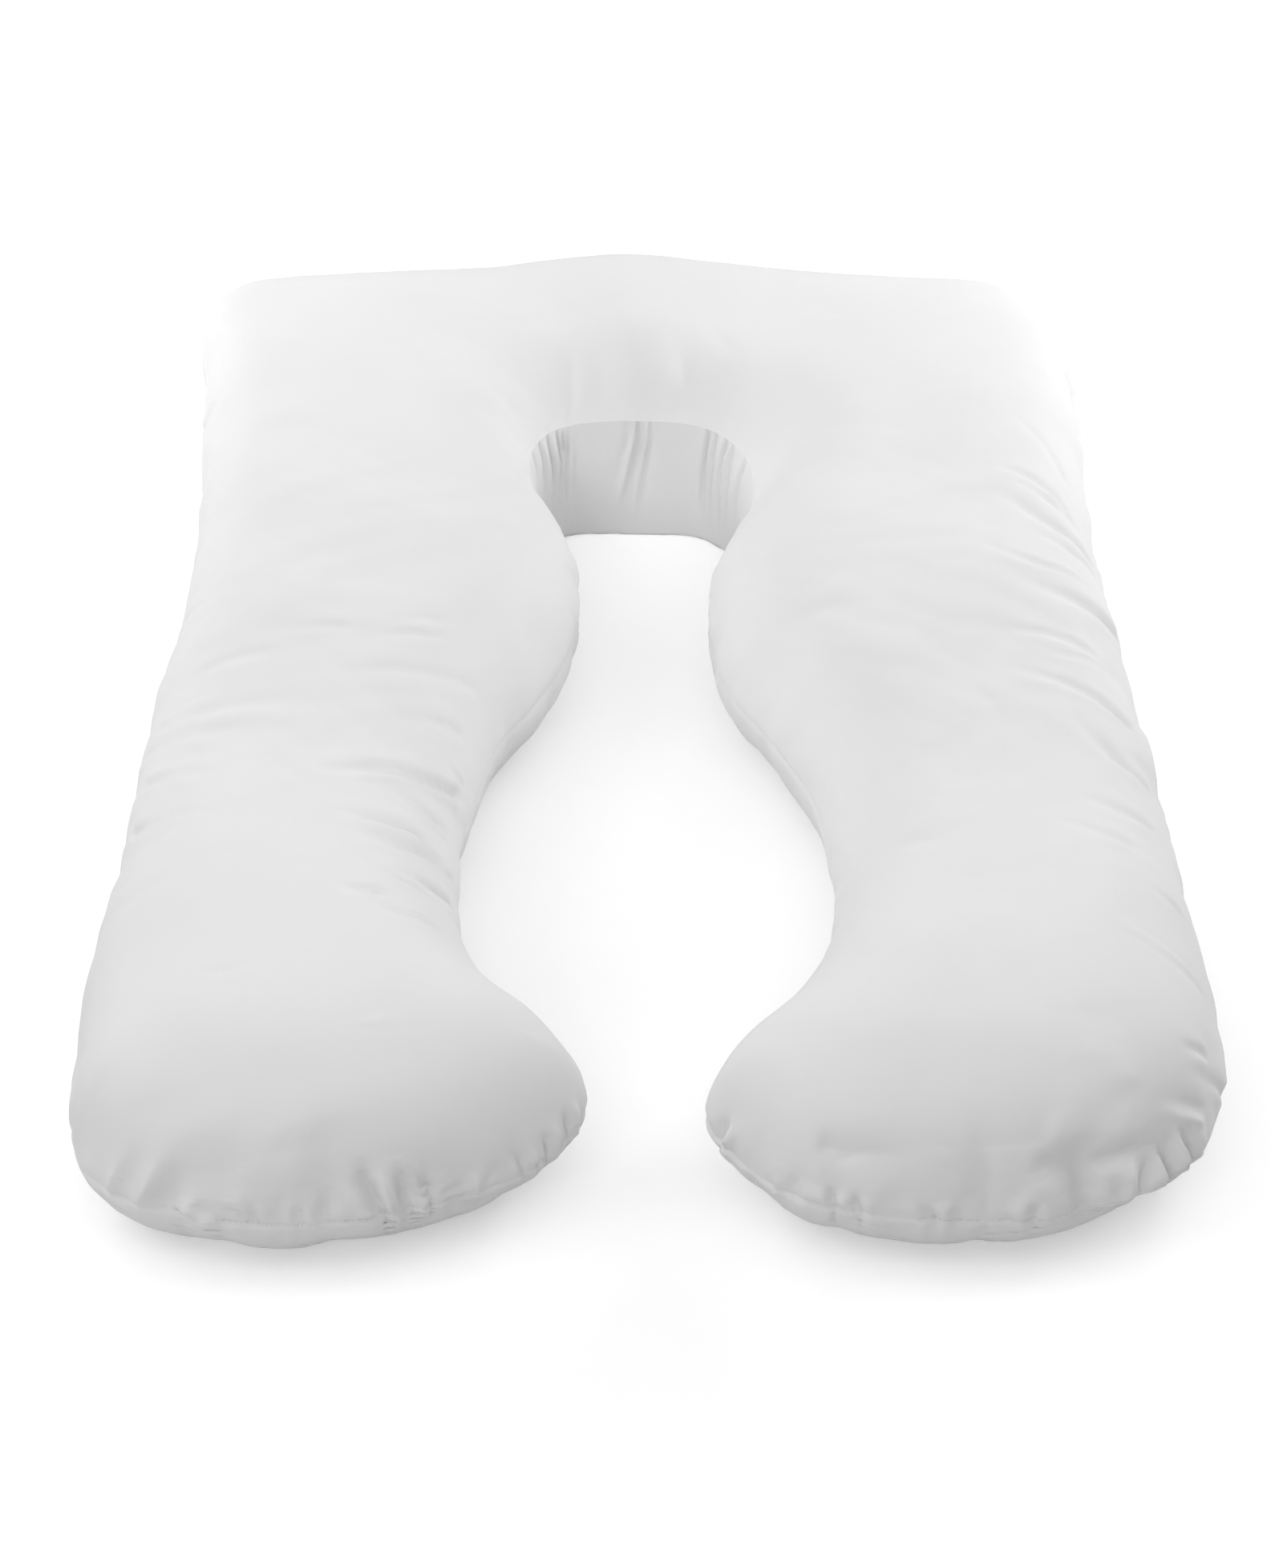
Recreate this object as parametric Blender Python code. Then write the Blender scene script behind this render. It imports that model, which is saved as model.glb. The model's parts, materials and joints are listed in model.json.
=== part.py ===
"""A U-shaped full-body pillow lying on its back: two cotton panels cut to one outline, sewn together
round the edge and filled. Metres, +Z up, the toes of the two legs towards -Y, the bar at +Y, and the
origin under the middle of the pillow, on the surface that it rests on."""

from collections import namedtuple

import bmesh
import bpy
import numpy as np

# Driving sizes of the filled pillow.
WIDTH = 0.942
LENGTH = 1.440

# How the filling rounds the two panels off towards the seam. Round the neck the upper panel starts
# off nearly flat from its crisp edge, and the feet are stuffed fuller than the legs.
UPPER_ROUNDING = 2.7
UPPER_SHOULDER = 2.0
NECK_ROUNDING = 2.2
NECK_SHOULDER = 1.0
LOWER_ROUNDING = 2.0
FOOT_FULLNESS = 0.45
FOOT_SECTIONS = 4.0
SINK = 0.030  # how far the underside would bulge below the surface, which presses it flat

# The mesh of each panel.
ROWS = 112
COLUMNS = 16
TOE_ZONE = 0.10  # rows are set closer together this near to a toe
TOE_ROWS = 7
SEAM_POINTS = 900
WELD = 0.00002

COTTON = (0.86, 0.86, 0.86, 1.0)
COTTON_ROUGHNESS = 0.85

# One row for each section across the pillow, from the left toe round to the right toe: where the
# section meets the seam on the inner and the outer side, how far its middle bows towards the toe,
# the height of the crown, the height of the seam on each side, how upright the inner wall below
# the seam stands (1 is a plain round side, and less is steeper), and how far its foot stands out.
Section = namedtuple(
    "Section", "name inner_x inner_y outer_x outer_y bow crown inner_seam outer_seam wall foot"
)
SECTIONS = (
    Section("left toe", -0.116, -0.668, -0.400, -0.686, 0.033, 0.172, 0.055, 0.055, 1.0, 0.0),
    Section("left toe ball", -0.072, -0.632, -0.446, -0.646, 0.036, 0.181, 0.055, 0.056, 1.0, 0.0),
    Section("left foot", -0.045, -0.588, -0.461, -0.588, 0.024, 0.187, 0.062, 0.062, 1.0, 0.0),
    Section("left instep", -0.060, -0.545, -0.463, -0.515, 0.010, 0.189, 0.068, 0.068, 1.0, 0.0),
    Section("left ankle", -0.110, -0.498, -0.462, -0.440, 0.004, 0.187, 0.073, 0.072, 1.0, 0.0),
    Section("left shin", -0.143, -0.438, -0.458, -0.370, 0.0, 0.180, 0.076, 0.076, 1.0, 0.0),
    Section("left belly low", -0.155, -0.362, -0.453, -0.300, 0.0, 0.171, 0.078, 0.080, 1.0, 0.0),
    Section("left belly", -0.157, -0.275, -0.451, -0.228, 0.0, 0.165, 0.078, 0.083, 1.0, 0.0),
    Section("left belly high", -0.148, -0.192, -0.450, -0.150, 0.0, 0.167, 0.078, 0.085, 1.0, 0.0),
    Section("left rib", -0.127, -0.105, -0.447, -0.070, 0.0, 0.175, 0.078, 0.087, 1.0, 0.0),
    Section("left chest", -0.088, -0.022, -0.440, 0.010, 0.0, 0.184, 0.078, 0.088, 1.0, 0.0),
    Section("left throat low", -0.063, 0.055, -0.436, 0.095, 0.0, 0.188, 0.080, 0.089, 0.95, 0.0),
    Section("left throat", -0.061, 0.140, -0.437, 0.185, 0.0, 0.188, 0.088, 0.090, 0.85, 0.0),
    Section("left shoulder", -0.080, 0.220, -0.442, 0.285, 0.0, 0.186, 0.100, 0.090, 0.65, 0.006),
    Section("left neck side", -0.107, 0.285, -0.451, 0.395, 0.0, 0.182, 0.112, 0.090, 0.45, 0.018),
    Section("left neck turn", -0.112, 0.338, -0.461, 0.515, 0.0, 0.177, 0.119, 0.090, 0.34, 0.030),
    Section("left corner low", -0.098, 0.372, -0.475, 0.624, 0.0, 0.171, 0.122, 0.090, 0.28, 0.036),
    Section("left corner", -0.075, 0.391, -0.448, 0.694, 0.0, 0.167, 0.122, 0.088, 0.26, 0.038),
    Section("left bar", -0.050, 0.398, -0.352, 0.716, 0.0, 0.168, 0.122, 0.085, 0.25, 0.040),
    Section("left mid bar", -0.025, 0.401, -0.190, 0.719, 0.0, 0.171, 0.122, 0.082, 0.25, 0.040),
    Section("bar", 0.0, 0.401, -0.010, 0.722, 0.0, 0.184, 0.122, 0.082, 0.25, 0.040),
    Section("right mid bar", 0.025, 0.399, 0.180, 0.719, 0.0, 0.169, 0.122, 0.082, 0.25, 0.040),
    Section("right bar", 0.050, 0.394, 0.334, 0.716, 0.0, 0.165, 0.122, 0.085, 0.25, 0.040),
    Section("right corner", 0.076, 0.381, 0.414, 0.680, 0.0, 0.169, 0.121, 0.088, 0.26, 0.040),
    Section("right corner low", 0.098, 0.353, 0.449, 0.600, 0.0, 0.173, 0.119, 0.090, 0.28, 0.038),
    Section("right neck turn", 0.111, 0.315, 0.457, 0.500, 0.0, 0.178, 0.115, 0.090, 0.34, 0.032),
    Section("right neck side", 0.110, 0.262, 0.453, 0.395, 0.0, 0.183, 0.108, 0.090, 0.45, 0.020),
    Section("right shoulder", 0.087, 0.200, 0.448, 0.285, 0.0, 0.187, 0.098, 0.090, 0.65, 0.006),
    Section("right throat", 0.066, 0.125, 0.448, 0.185, 0.0, 0.189, 0.088, 0.090, 0.85, 0.0),
    Section("right throat low", 0.066, 0.048, 0.450, 0.090, 0.0, 0.188, 0.080, 0.089, 0.95, 0.0),
    Section("right chest", 0.082, -0.028, 0.453, 0.000, 0.0, 0.185, 0.078, 0.088, 1.0, 0.0),
    Section("right rib", 0.118, -0.102, 0.457, -0.080, 0.0, 0.178, 0.078, 0.087, 1.0, 0.0),
    Section("right belly high", 0.151, -0.188, 0.461, -0.160, 0.0, 0.170, 0.078, 0.085, 1.0, 0.0),
    Section("right belly", 0.165, -0.278, 0.464, -0.235, 0.0, 0.166, 0.078, 0.083, 1.0, 0.0),
    Section("right belly low", 0.165, -0.360, 0.467, -0.305, 0.0, 0.169, 0.078, 0.080, 1.0, 0.0),
    Section("right shin", 0.149, -0.440, 0.470, -0.375, 0.0, 0.178, 0.076, 0.076, 1.0, 0.0),
    Section("right ankle", 0.114, -0.503, 0.473, -0.445, 0.004, 0.186, 0.073, 0.072, 1.0, 0.0),
    Section("right instep", 0.070, -0.555, 0.476, -0.516, 0.010, 0.189, 0.068, 0.068, 1.0, 0.0),
    Section("right foot", 0.052, -0.600, 0.472, -0.576, 0.024, 0.188, 0.062, 0.062, 1.0, 0.0),
    Section("right toe ball", 0.085, -0.648, 0.448, -0.628, 0.030, 0.181, 0.055, 0.056, 1.0, 0.0),
    Section("right toe", 0.130, -0.684, 0.395, -0.672, 0.028, 0.172, 0.055, 0.055, 1.0, 0.0),
)
COLUMNS_OF_SECTION = {name: i for i, name in enumerate(Section._fields[1:])}

# Where the underside is tucked in below the seam, by section number: 0 is a round side, 1 a side
# that slants straight in.
Tuck = namedtuple("Tuck", "section inner outer")
TUCKS = (
    Tuck(0, 0.5, 0.0),
    Tuck(2, 0.8, 0.0),
    Tuck(5, 0.5, 0.0),
    Tuck(9, 0.0, 0.0),
    Tuck(32, 0.0, 0.0),
    Tuck(36, 0.4, 0.5),
    Tuck(38, 0.5, 0.9),
    Tuck(40, 0.3, 0.7),
)


def through_rows(table, where):
    """A smooth curve through the table's rows (Catmull-Rom), read at each row number in where."""
    first_pad = 3 * table[0] - 3 * table[1] + table[2]
    last_pad = 3 * table[-1] - 3 * table[-2] + table[-3]
    padded = np.vstack([first_pad, table, last_pad])
    first = np.clip(where.astype(int), 0, len(table) - 2)
    step = (where - first)[:, None]
    before, start, end, after = (padded[first + i] for i in range(4))
    return 0.5 * (
        2 * start
        + (end - before) * step
        + (2 * before - 5 * start + 4 * end - after) * step**2
        + (3 * start - before - 3 * end + after) * step**3
    )


def column(rows, name):
    return rows[:, COLUMNS_OF_SECTION[name]]


def smooth_step(value):
    value = np.clip(value, 0, 1)
    return value * value * (3 - 2 * value)


def plan_of(rows, across):
    """Where the sections lie in plan: across runs from 0 on the inner seam to 1 on the outer one."""
    inner = np.stack([column(rows, "inner_x"), column(rows, "inner_y")], axis=-1)[:, None]
    outer = np.stack([column(rows, "outer_x"), column(rows, "outer_y")], axis=-1)[:, None]
    share = across[None, :, None]
    plan = inner * (1 - share) + outer * share
    plan[..., 1] -= column(rows, "bow")[:, None] * 4 * share[..., 0] * (1 - share[..., 0])
    return plan


def spaced_along(table):
    """ROWS + 1 row numbers, evenly spaced along the pillow and closer together at its toes."""
    fine = np.linspace(0, len(table) - 1, 4000)
    middle = plan_of(through_rows(table, fine), np.array([0.5]))[:, 0]
    length = np.append(0, np.cumsum(np.linalg.norm(np.diff(middle, axis=0), axis=1)))
    toe = TOE_ZONE * (1 - np.cos(np.linspace(0, np.pi / 2, TOE_ROWS + 1)))[:-1]
    body = np.linspace(TOE_ZONE, length[-1] - TOE_ZONE, ROWS + 1 - 2 * TOE_ROWS)
    stations = np.concatenate([toe, body, length[-1] - toe[::-1]])
    return np.interp(stations, length, fine)


def seam_loop(table):
    """The seam in plan: the middles of its short pieces, and their lengths."""
    rows = through_rows(table, np.linspace(0, len(table) - 1, SEAM_POINTS))
    ends = plan_of(rows[[0, -1]], np.linspace(0, 1, SEAM_POINTS // 8))
    rails = plan_of(rows, np.array([0.0, 1.0]))
    loop = np.concatenate([rails[:, 0], ends[1][1:-1], rails[::-1, 1], ends[0][-2:0:-1]])
    following = np.roll(loop, -1, axis=0)
    return (loop + following) / 2, np.linalg.norm(following - loop, axis=1)


def inset(plan, seam):
    """A smooth distance to the seam: a straight edge on its own gives the true distance, and each
    further edge nearby draws it down a little, so that no ridge forms between them."""
    middles, lengths = seam
    gaps = np.linalg.norm(plan[:, :, None] - middles, axis=3)
    nearness = (lengths / np.maximum(gaps, 1e-6) ** 4).sum(axis=2) * 2 / np.pi
    return nearness ** (-1 / 3)


def filled(depth, rounding, shoulder):
    """How far the filling lifts a panel, from 0 at the seam to 1 well inside it."""
    return (1 - (1 - np.clip(depth, 0, 1)) ** rounding) ** (1 / shoulder)


def surfaces():
    """The points of the upper and of the lower panel, as arrays of rows by columns."""
    table = np.array([row[1:] for row in SECTIONS])
    along = spaced_along(table)
    rows = through_rows(table, along)
    across = (1 - np.cos(np.linspace(0, np.pi, COLUMNS + 1))) / 2
    plan = plan_of(rows, across)
    width = np.linalg.norm(plan[:, -1] - plan[:, 0], axis=1)
    depth = inset(plan, seam_loop(table))
    depth[:, [0, -1]] = 0
    depth[[0, -1]] = 0
    depth *= 2 ** (1 / 3) / (width[:, None] / 2)

    from_toe = np.minimum(along, along[-1] - along)[:, None]
    fuller = depth * (1 + FOOT_FULLNESS * (1 - smooth_step(from_toe / FOOT_SECTIONS)))
    seam = column(rows, "inner_seam")[:, None] * (1 - across)
    seam = seam + column(rows, "outer_seam")[:, None] * across
    crown = column(rows, "crown")[:, None]
    wall = 1 + (column(rows, "wall")[:, None] - 1) * (1 - across)
    neck = smooth_step((1 - wall) / 0.7)
    rounding = UPPER_ROUNDING + (NECK_ROUNDING - UPPER_ROUNDING) * neck
    shoulder = UPPER_SHOULDER + (NECK_SHOULDER - UPPER_SHOULDER) * neck
    upper = seam + (crown - seam) * filled(fuller, rounding, shoulder)

    tucks = np.array(TUCKS)
    tuck = np.interp(along, tucks[:, 0], tucks[:, 1])[:, None] * (1 - across) ** 2
    tuck = tuck + np.interp(along, tucks[:, 0], tucks[:, 2])[:, None] * across**2
    lower = np.maximum(seam - (seam + SINK) * filled(depth / wall, LOWER_ROUNDING, 2 - tuck), 0)
    stand_out = column(rows, "foot")[:, None] * (1 - lower / seam) * (1 - across) ** 2
    run = np.gradient(plan[:, 0], axis=0)
    inwards = np.stack([run[:, 1], -run[:, 0]], axis=-1) / np.linalg.norm(run, axis=1)[:, None]
    foot_plan = plan + inwards[:, None] * stand_out[..., None]
    return np.dstack([plan, upper]), np.dstack([foot_plan, lower])


def add_panel(bm, points, faces_up):
    """One panel as a grid of ROWS by COLUMNS quads, laid over the points."""
    made = bmesh.ops.create_grid(bm, x_segments=ROWS, y_segments=COLUMNS, size=0.5)
    for vert in made["verts"]:
        row = round((vert.co.x + 0.5) * ROWS)
        place = round((vert.co.y + 0.5) * COLUMNS)
        vert.co = points[row, place]
    faces = list({face for vert in made["verts"] for face in vert.link_faces})
    bmesh.ops.recalc_face_normals(bm, faces=faces)
    if (sum(face.normal.z for face in faces) > 0) != faces_up:
        bmesh.ops.reverse_faces(bm, faces=faces)


def make_cotton():
    material = bpy.data.materials.new("cotton")
    material.use_nodes = True
    shader = material.node_tree.nodes["Principled BSDF"]
    shader.inputs["Base Color"].default_value = COTTON
    shader.inputs["Roughness"].default_value = COTTON_ROUGHNESS
    return material


def make_pillow(collection):
    upper, lower = surfaces()
    bm = bmesh.new()
    add_panel(bm, upper, faces_up=True)
    add_panel(bm, lower, faces_up=False)
    bmesh.ops.remove_doubles(bm, verts=bm.verts[:], dist=WELD)

    corners = np.array([vert.co for vert in bm.verts])
    low, high = corners.min(axis=0), corners.max(axis=0)
    for vert in bm.verts:
        vert.co.x = (vert.co.x - (low[0] + high[0]) / 2) * WIDTH / (high[0] - low[0])
        vert.co.y = (vert.co.y - (low[1] + high[1]) / 2) * LENGTH / (high[1] - low[1])

    mesh = bpy.data.meshes.new("pillow")
    bm.to_mesh(mesh)
    bm.free()
    mesh.shade_smooth()
    mesh.materials.append(make_cotton())
    collection.objects.link(bpy.data.objects.new("pillow", mesh))


def main():
    for obj in list(bpy.data.objects):
        bpy.data.objects.remove(obj)
    collection = bpy.data.collections.new("body_pillow")
    bpy.context.scene.collection.children.link(collection)
    make_pillow(collection)


main()
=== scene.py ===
# %% [markdown]
# # A U-shaped body pillow
# The pillow is two panels of plain white cotton, cut to one U-shaped outline, sewn together round
# the edge and stuffed with loose fibre. This lesson makes its skin as Blender meshes round a plain
# solid that already has the right size. The steps are: lay out the seam, puff two grids of quads
# off it, let Blender's cloth solver loosen them, press in the folds one by one, gather the seam,
# sew it shut, weave a material, and light it softly on a white floor.

# %% The frame
import json
import math
from collections import namedtuple

import bpy
import numpy as np
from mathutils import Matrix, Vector
from mathutils.kdtree import KDTree

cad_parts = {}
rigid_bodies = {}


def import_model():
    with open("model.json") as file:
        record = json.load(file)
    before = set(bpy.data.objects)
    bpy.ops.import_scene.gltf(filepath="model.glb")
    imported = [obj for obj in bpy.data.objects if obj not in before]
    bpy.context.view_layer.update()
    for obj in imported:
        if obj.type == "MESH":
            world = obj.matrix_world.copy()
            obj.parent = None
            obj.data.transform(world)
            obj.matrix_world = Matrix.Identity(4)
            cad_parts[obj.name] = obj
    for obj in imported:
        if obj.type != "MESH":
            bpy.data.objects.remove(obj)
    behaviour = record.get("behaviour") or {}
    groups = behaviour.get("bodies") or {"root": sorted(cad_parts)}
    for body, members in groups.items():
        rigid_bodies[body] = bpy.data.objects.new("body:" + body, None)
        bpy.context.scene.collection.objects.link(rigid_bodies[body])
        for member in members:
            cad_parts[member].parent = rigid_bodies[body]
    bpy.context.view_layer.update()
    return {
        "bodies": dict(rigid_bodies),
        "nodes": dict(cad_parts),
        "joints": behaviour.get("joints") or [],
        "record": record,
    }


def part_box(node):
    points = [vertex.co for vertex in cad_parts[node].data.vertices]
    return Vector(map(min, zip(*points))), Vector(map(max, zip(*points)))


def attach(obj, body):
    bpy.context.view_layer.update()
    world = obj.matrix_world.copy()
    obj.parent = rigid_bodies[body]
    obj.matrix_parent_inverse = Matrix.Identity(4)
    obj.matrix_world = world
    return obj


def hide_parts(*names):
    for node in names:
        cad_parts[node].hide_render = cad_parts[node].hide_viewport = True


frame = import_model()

LOW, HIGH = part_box("pillow")
print(f"the pillow is {HIGH.x - LOW.x:.3f} x {HIGH.y - LOW.y:.3f} x {HIGH.z - LOW.z:.3f} m")

# %% [markdown]
# ## The outline, section by section
# A pattern cutter would draw this outline on paper. Here each row is one section across the
# pillow, starting at the toe of the left leg, going up that leg, along the bar and down the right
# leg. A row says where the section meets the seam on the inner side and on the outer side, how far
# its middle bows towards the toe, and how high the crown and the seam are, all in millimetres.
# Round the neck two more numbers shape the steep wall under the inner seam: how far its foot
# stands out, and how soon it comes down to the floor, as a share of what a plain side takes. The
# two legs aren't mirror images, because stuffing never lies evenly.

# %% The sections
Section = namedtuple(
    "Section",
    "name inner_x inner_y outer_x outer_y bow crown inner_seam outer_seam foot wall",
    defaults=(0, 1.0),
)
SECTIONS = (
    Section("left toe", -116, -668, -400, -686, 33, 172, 55, 55),
    Section("left toe ball", -72, -632, -446, -646, 36, 181, 55, 56),
    Section("left foot", -45, -588, -461, -588, 24, 187, 62, 62),
    Section("left instep", -60, -545, -463, -515, 10, 189, 68, 68),
    Section("left ankle", -110, -498, -462, -440, 4, 187, 73, 72),
    Section("left shin", -143, -438, -458, -370, 0, 180, 76, 76),
    Section("left belly low", -155, -362, -453, -300, 0, 171, 78, 80),
    Section("left belly", -157, -275, -451, -228, 0, 165, 78, 83),
    Section("left belly high", -148, -192, -450, -150, 0, 167, 78, 85),
    Section("left rib", -127, -105, -447, -70, 0, 175, 78, 87),
    Section("left chest", -88, -22, -440, 10, 0, 184, 78, 88),
    Section("left throat low", -63, 55, -436, 95, 0, 188, 80, 89, 0, 0.95),
    Section("left throat", -61, 140, -437, 185, 0, 188, 88, 90, 0, 0.85),
    Section("left shoulder", -80, 220, -442, 285, 0, 186, 100, 90, 6, 0.65),
    Section("left neck side", -107, 285, -451, 395, 0, 182, 112, 90, 18, 0.45),
    Section("left neck turn", -112, 338, -461, 515, 0, 177, 119, 90, 30, 0.34),
    Section("left corner low", -98, 372, -475, 624, 0, 171, 122, 90, 36, 0.28),
    Section("left corner", -75, 391, -448, 694, 0, 167, 122, 88, 38, 0.26),
    Section("left bar", -50, 398, -352, 716, 0, 168, 122, 85, 40, 0.25),
    Section("left mid bar", -25, 401, -190, 719, 0, 171, 122, 82, 40, 0.25),
    Section("bar", 0, 401, -10, 722, 0, 184, 122, 82, 40, 0.25),
    Section("right mid bar", 25, 399, 180, 719, 0, 169, 122, 82, 40, 0.25),
    Section("right bar", 50, 394, 334, 716, 0, 165, 122, 85, 40, 0.25),
    Section("right corner", 76, 381, 414, 680, 0, 169, 121, 88, 40, 0.26),
    Section("right corner low", 98, 353, 449, 600, 0, 173, 119, 90, 38, 0.28),
    Section("right neck turn", 111, 315, 457, 500, 0, 178, 115, 90, 32, 0.34),
    Section("right neck side", 110, 262, 453, 395, 0, 183, 108, 90, 20, 0.45),
    Section("right shoulder", 87, 200, 448, 285, 0, 187, 98, 90, 6, 0.65),
    Section("right throat", 66, 125, 448, 185, 0, 189, 88, 90, 0, 0.85),
    Section("right throat low", 66, 48, 450, 90, 0, 188, 80, 89, 0, 0.95),
    Section("right chest", 82, -28, 453, 0, 0, 185, 78, 88),
    Section("right rib", 118, -102, 457, -80, 0, 178, 78, 87),
    Section("right belly high", 151, -188, 461, -160, 0, 170, 78, 85),
    Section("right belly", 165, -278, 464, -235, 0, 166, 78, 83),
    Section("right belly low", 165, -360, 467, -305, 0, 169, 78, 80),
    Section("right shin", 149, -440, 470, -375, 0, 178, 76, 76),
    Section("right ankle", 114, -503, 473, -445, 4, 186, 73, 72),
    Section("right instep", 70, -555, 476, -516, 10, 189, 68, 68),
    Section("right foot", 52, -600, 472, -576, 24, 188, 62, 62),
    Section("right toe ball", 85, -648, 448, -628, 30, 181, 55, 56),
    Section("right toe", 130, -684, 395, -672, 28, 172, 55, 55),
)
COLUMN = {name: i for i, name in enumerate(Section._fields[1:])}
TABLE = np.array([row[1:] for row in SECTIONS])
TABLE[:, : COLUMN["wall"]] /= 1000
print(len(SECTIONS), "sections")

# %% [markdown]
# ## From sections to a smooth body
# Between the rows a Catmull-Rom curve gives a smooth outline: it passes through every row, so what
# is written in the table is what is made. How high the filling lifts the cotton depends on how far
# a point is from the seam. A plain nearest distance would leave a ridge along the middle of each
# leg, so the distance is blended from every piece of the seam at once, which is smooth everywhere
# and still zero on the seam. Round the neck the wall pulls the edge crisp, so the cotton starts
# off nearly flat there, while the feet are stuffed fuller than the legs. A tuck makes the
# underside leave the seam more steeply, which rounds the side off.

# %% Curves and distances
ROUNDING, SHOULDER = 2.7, 2.0
NECK_ROUNDING, NECK_SHOULDER = 2.2, 1.0
NECK_STEEPNESS = 0.7
LOWER_ROUNDING, LOWER_SHOULDER = 2.0, 2
SINK = 0.030
FOOT_FULLNESS, FOOT_SECTIONS = 0.45, 4.0
Tuck = namedtuple("Tuck", "section inner outer")
TUCKS = (
    Tuck(0, 0.5, 0.0),
    Tuck(2, 0.8, 0.0),
    Tuck(5, 0.5, 0.0),
    Tuck(9, 0.0, 0.0),
    Tuck(32, 0.0, 0.0),
    Tuck(36, 0.4, 0.5),
    Tuck(38, 0.5, 0.9),
    Tuck(40, 0.3, 0.7),
)
SEAM_POINTS, TOE_POINTS = 900, 112
COARSE_ROWS, COARSE_COLUMNS = 224, 32
TINY = 1e-9


def through_rows(table, where):
    """A smooth curve through the table's rows (Catmull-Rom), read at each row number in where."""
    first_pad = 3 * table[0] - 3 * table[1] + table[2]
    last_pad = 3 * table[-1] - 3 * table[-2] + table[-3]
    padded = np.concatenate([[first_pad], table, [last_pad]])
    first = np.clip(where.astype(int), 0, len(table) - 2)
    step = (where - first).reshape(-1, *[1] * (table.ndim - 1))
    before, start, end, after = (padded[first + i] for i in range(4))
    return 0.5 * (
        2 * start
        + (end - before) * step
        + (2 * before - 5 * start + 4 * end - after) * step**2
        + (3 * start - before - 3 * end + after) * step**3
    )


def column(rows, name):
    """One of the table's columns, as a column of numbers, one for each row."""
    return rows[:, COLUMN[name], None]


def smooth_step(value):
    """From 0 to 1 with a level start and end, as value goes from 0 to 1."""
    value = np.clip(value, 0, 1)
    return value * value * (3 - 2 * value)


def neck_share(wall):
    """How much of the neck's crisp edge a wall has: none on a plain side, all where steep."""
    return smooth_step((1 - wall) / NECK_STEEPNESS)


def plan_of(rows, across):
    """Where the sections lie in plan. Across is 0 on the inner seam and 1 on the outer one."""
    inner = np.stack([column(rows, "inner_x"), column(rows, "inner_y")], axis=-1)
    outer = np.stack([column(rows, "outer_x"), column(rows, "outer_y")], axis=-1)
    share = across[None, :, None]
    plan = inner * (1 - share) + outer * share
    plan[..., 1] -= column(rows, "bow") * 4 * across * (1 - across)
    return plan


def seam_loop(table):
    """The seam in plan: the middles of its short pieces, and their lengths."""
    rows = through_rows(table, np.linspace(0, len(table) - 1, SEAM_POINTS))
    ends = plan_of(rows[[0, -1]], np.linspace(0, 1, TOE_POINTS))
    rails = plan_of(rows, np.array([0.0, 1.0]))
    loop = np.concatenate([rails[:, 0], ends[1][1:-1], rails[::-1, 1], ends[0][-2:0:-1]])
    following = np.roll(loop, -1, axis=0)
    return (loop + following) / 2, np.linalg.norm(following - loop, axis=1)


def inset(plan, seam):
    """A smooth distance from the seam, from its every piece at once.

    Length over gap to the fourth, summed along a straight seam, is pi / 2 over the distance cubed.
    """
    middles, lengths = seam
    gaps = np.linalg.norm(plan[:, :, None] - middles, axis=3)
    nearness = (lengths / np.maximum(gaps, TINY) ** 4).sum(axis=2) * 2 / np.pi
    return nearness ** (-1 / 3)


def filled(depth, rounding, shoulder):
    """How far the filling lifts a panel, from 0 at the seam to 1 well inside it."""
    return (1 - (1 - np.clip(depth, 0, 1)) ** rounding) ** (1 / shoulder)


coarse_along = np.linspace(0, len(TABLE) - 1, COARSE_ROWS + 1)
coarse_across = (1 - np.cos(np.linspace(0, np.pi, COARSE_COLUMNS + 1))) / 2
coarse_plan = plan_of(through_rows(TABLE, coarse_along), coarse_across)
coarse_width = np.linalg.norm(coarse_plan[:, -1] - coarse_plan[:, 0], axis=1)
coarse_depth = inset(coarse_plan, seam_loop(TABLE))
coarse_depth[:, [0, -1]] = coarse_depth[[0, -1]] = 0
# Midway between two seams both count, which halves the distance's cube. So this makes it 1 there.
coarse_depth *= 2 ** (1 / 3) / (coarse_width[:, None] / 2)
print(f"distances from the seam: {coarse_depth.size} points")


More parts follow.
